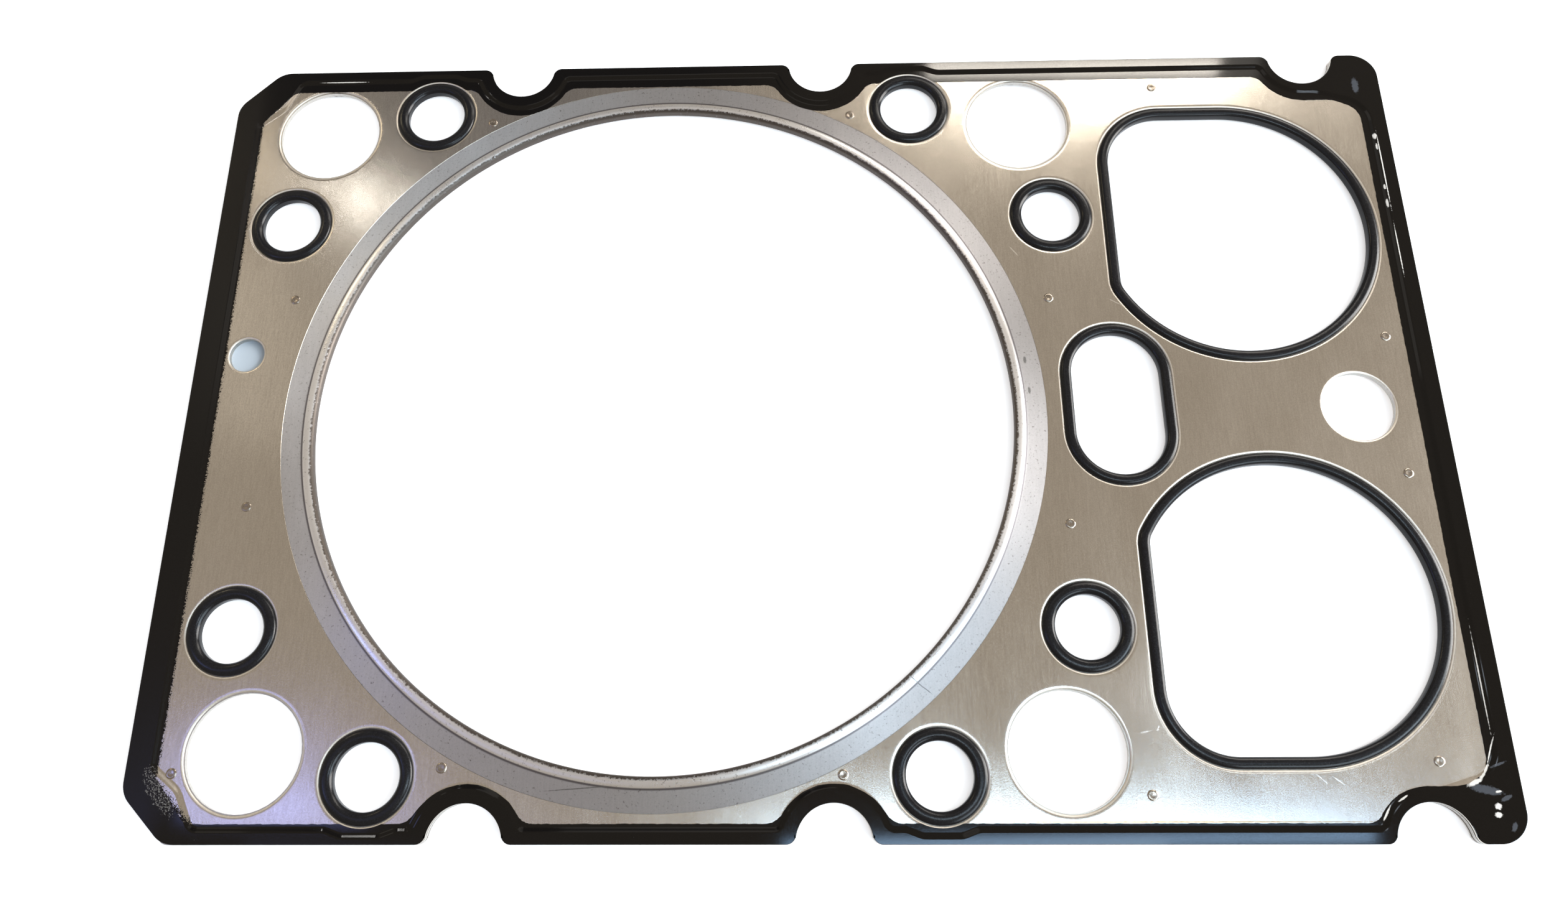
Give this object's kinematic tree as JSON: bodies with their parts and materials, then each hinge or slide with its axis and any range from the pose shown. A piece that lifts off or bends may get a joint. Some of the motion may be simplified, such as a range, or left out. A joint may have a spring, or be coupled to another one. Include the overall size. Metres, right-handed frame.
{
  "type": "cylinder head gasket",
  "caption": "Flat layered-steel head gasket for one cylinder: folded fire ring round the bore, rubber-lipped passages, bolt holes and a raised coated edge.",
  "frame": {"origin": "on the axis of the cylinder bore, half way through the carrier plate", "axes": "+X along the engine from the bore towards the two large windows, +Y across it, +Z out of the face that the picture shows"},
  "size_m": [0.2288, 0.1492, 0.0022],
  "materials": {
    "carrier_steel": "cold rolled",
    "cover_steel": "bright rolled stainless with scratches",
    "ring_steel": "bright, folded",
    "wire_steel": "drawn",
    "rivet_steel": "bright",
    "edge_rubber": "thin printed, glossy",
    "seal_rubber": "moulded, satin"
  },
  "bodies": {
    "root": {"carrier_plate": "carrier_steel", "top_cover_sheet": "cover_steel", "bottom_cover_sheet": "cover_steel", "fire_ring": "ring_steel", "fire_ring_wire": "wire_steel", "top_edge_coating": "edge_rubber", "bottom_edge_coating": "edge_rubber", "slot_seal": "seal_rubber", "upper_window_seal": "seal_rubber", "lower_window_seal": "seal_rubber", "layer_rivets": "rivet_steel", "lower_left_edge_ring_seal": "seal_rubber", "lower_left_ring_seal": "seal_rubber", "lower_right_edge_ring_seal": "seal_rubber", "lower_right_ring_seal": "seal_rubber", "upper_left_edge_ring_seal": "seal_rubber", "upper_left_ring_seal": "seal_rubber", "upper_right_edge_ring_seal": "seal_rubber", "upper_right_ring_seal": "seal_rubber"}
  },
  "joints": []
}
